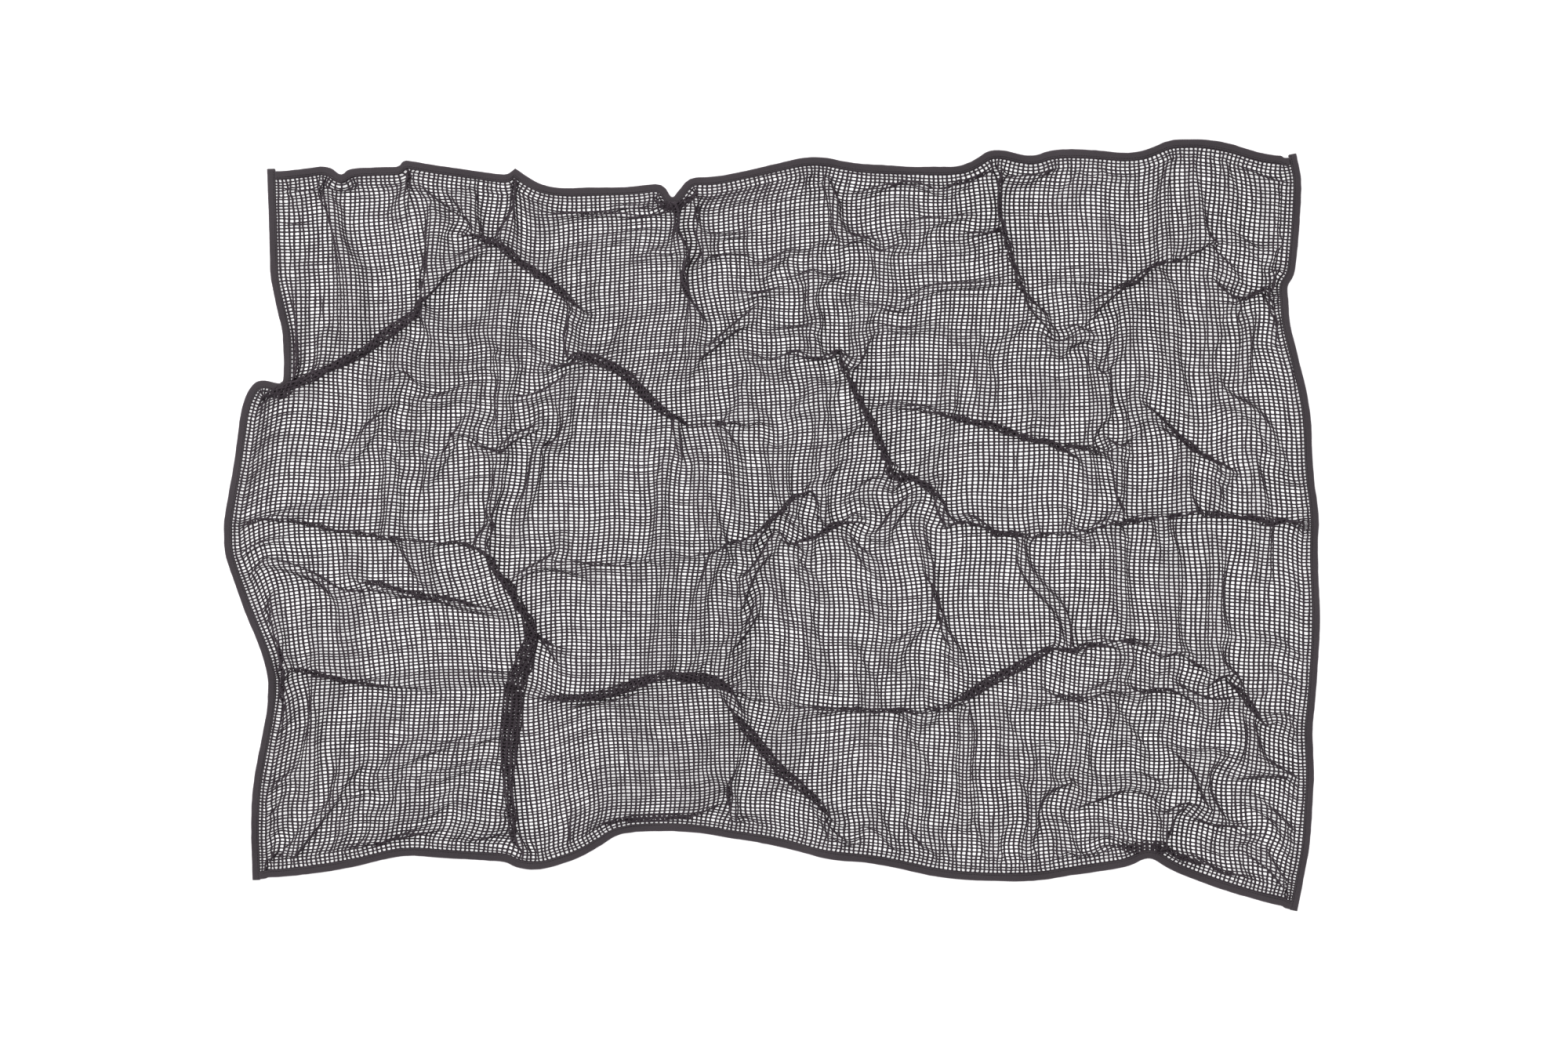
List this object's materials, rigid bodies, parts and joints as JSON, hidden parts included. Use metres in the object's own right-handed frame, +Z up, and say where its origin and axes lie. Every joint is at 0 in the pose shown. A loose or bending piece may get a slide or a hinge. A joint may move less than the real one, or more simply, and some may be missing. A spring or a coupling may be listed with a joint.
{
  "type": "mesh net cloth",
  "caption": "Fine open-mesh net cloth with a folded binding tape sewn along each edge, laid flat and crumpled.",
  "frame": {"origin": "on the floor, under the middle of the laid cloth's box", "axes": "+X along the laid length, +Y across the laid width towards the top edge, +Z up from the floor"},
  "size_m": [1.397, 0.9816, 0.0215],
  "materials": {
    "net_yarn": "soft matt charcoal yarn, open weave",
    "binding_tape": "smooth charcoal knitted tape with a faint sheen",
    "sewing_thread": "matt charcoal thread"
  },
  "bodies": {
    "root": {"net_panel": "net_yarn", "binding_top": "binding_tape", "binding_right": "binding_tape", "binding_bottom": "binding_tape", "binding_left": "binding_tape", "needle_thread_top": "sewing_thread", "needle_thread_right": "sewing_thread", "needle_thread_bottom": "sewing_thread", "needle_thread_left": "sewing_thread", "bobbin_thread_top": "sewing_thread", "bobbin_thread_right": "sewing_thread", "bobbin_thread_bottom": "sewing_thread", "bobbin_thread_left": "sewing_thread"}
  },
  "joints": []
}
